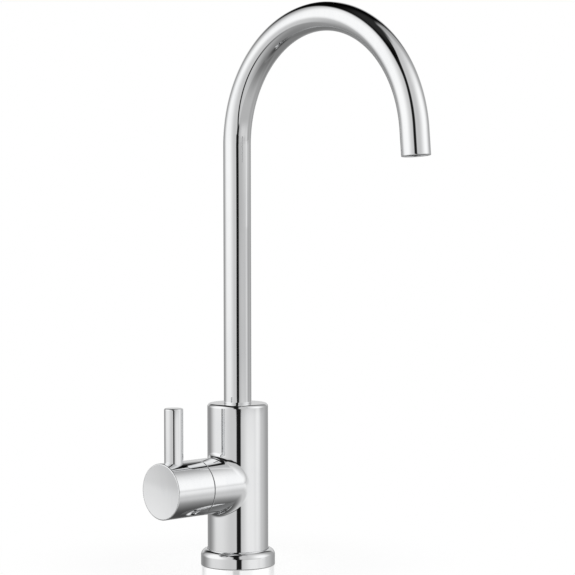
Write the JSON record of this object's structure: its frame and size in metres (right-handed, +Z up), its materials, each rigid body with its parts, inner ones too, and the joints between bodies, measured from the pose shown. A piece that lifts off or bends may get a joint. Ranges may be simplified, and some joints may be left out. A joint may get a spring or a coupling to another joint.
{
  "type": "drinking water filter tap",
  "caption": "Deck-mounted drinking water tap with a swivel gooseneck spout, side lever, ceramic disc valve, threaded shank and push-fit inlet.",
  "frame": {"origin": "on the riser's axis, in the plane of the base ring's underside, where the tap meets the deck", "axes": "+Z up along the riser, -Y the way the spout reaches, -X along the branch to the lever"},
  "size_m": [0.0639, 0.1352, 0.3265],
  "materials": {
    "polished_chrome": "polished chromium plate on brass",
    "chromed_tube": "polished chromium plate on drawn tube",
    "turned_brass": "turned, unplated",
    "plated_steel": "stainless or zinc plated, as stamped",
    "black_rubber": "moulded",
    "white_acetal": "moulded",
    "grey_collet": "moulded",
    "dark_acetal": "moulded",
    "valve_ceramic": "lapped alumina"
  },
  "bodies": {
    "tap_body": {"body": "polished_chrome", "base_ring": "polished_chrome", "base_seal": "black_rubber", "threaded_shank": "turned_brass", "shank_o_ring": "black_rubber", "inlet_adapter": "white_acetal", "inlet_washer": "black_rubber", "inlet_o_ring": "black_rubber", "spout_thrust_washer": "white_acetal", "spout_grub_screw": "plated_steel", "cartridge_sleeve": "turned_brass", "sleeve_o_ring": "black_rubber", "seat_seal": "black_rubber", "fixed_disc": "valve_ceramic", "friction_washer": "white_acetal", "hub_glide_ring": "dark_acetal"},
    "spout": {"spout_tube": "chromed_tube", "spout_spigot": "turned_brass", "spigot_o_ring_lower": "black_rubber", "spigot_o_ring_upper": "black_rubber", "flow_straightener": "dark_acetal"},
    "handle": {"handle_hub": "polished_chrome", "lever_pin": "polished_chrome", "hub_grub_screw": "plated_steel", "spindle": "turned_brass", "spindle_o_ring_inner": "black_rubber", "spindle_o_ring_outer": "black_rubber", "spindle_circlip": "plated_steel", "moving_disc": "valve_ceramic"},
    "release_collet": {"inlet_collet": "grey_collet"},
    "deck_clamp": {"deck_gasket": "black_rubber", "fixing_washer": "plated_steel", "lock_washer": "plated_steel", "fixing_nut": "turned_brass"}
  },
  "joints": [
    {"name": "spout_swivel", "type": "hinge", "parent": "tap_body", "child": "spout", "pos_m": [0, 0, 0.06], "axis": [0, 0, 1], "continuous": true},
    {"name": "handle_turn", "type": "hinge", "parent": "tap_body", "child": "handle", "pos_m": [-0.02, 0, 0.038], "axis": [1, 0, 0], "range_deg": [0, 90]},
    {"name": "collet_release", "type": "slide", "parent": "tap_body", "child": "release_collet", "axis": [0, 0, 1], "range_m": [0, 0.0015]},
    {"name": "clamp_travel", "type": "slide", "parent": "tap_body", "child": "deck_clamp", "axis": [0, 0, 1], "range_m": [-0.01, 0.019]}
  ]
}
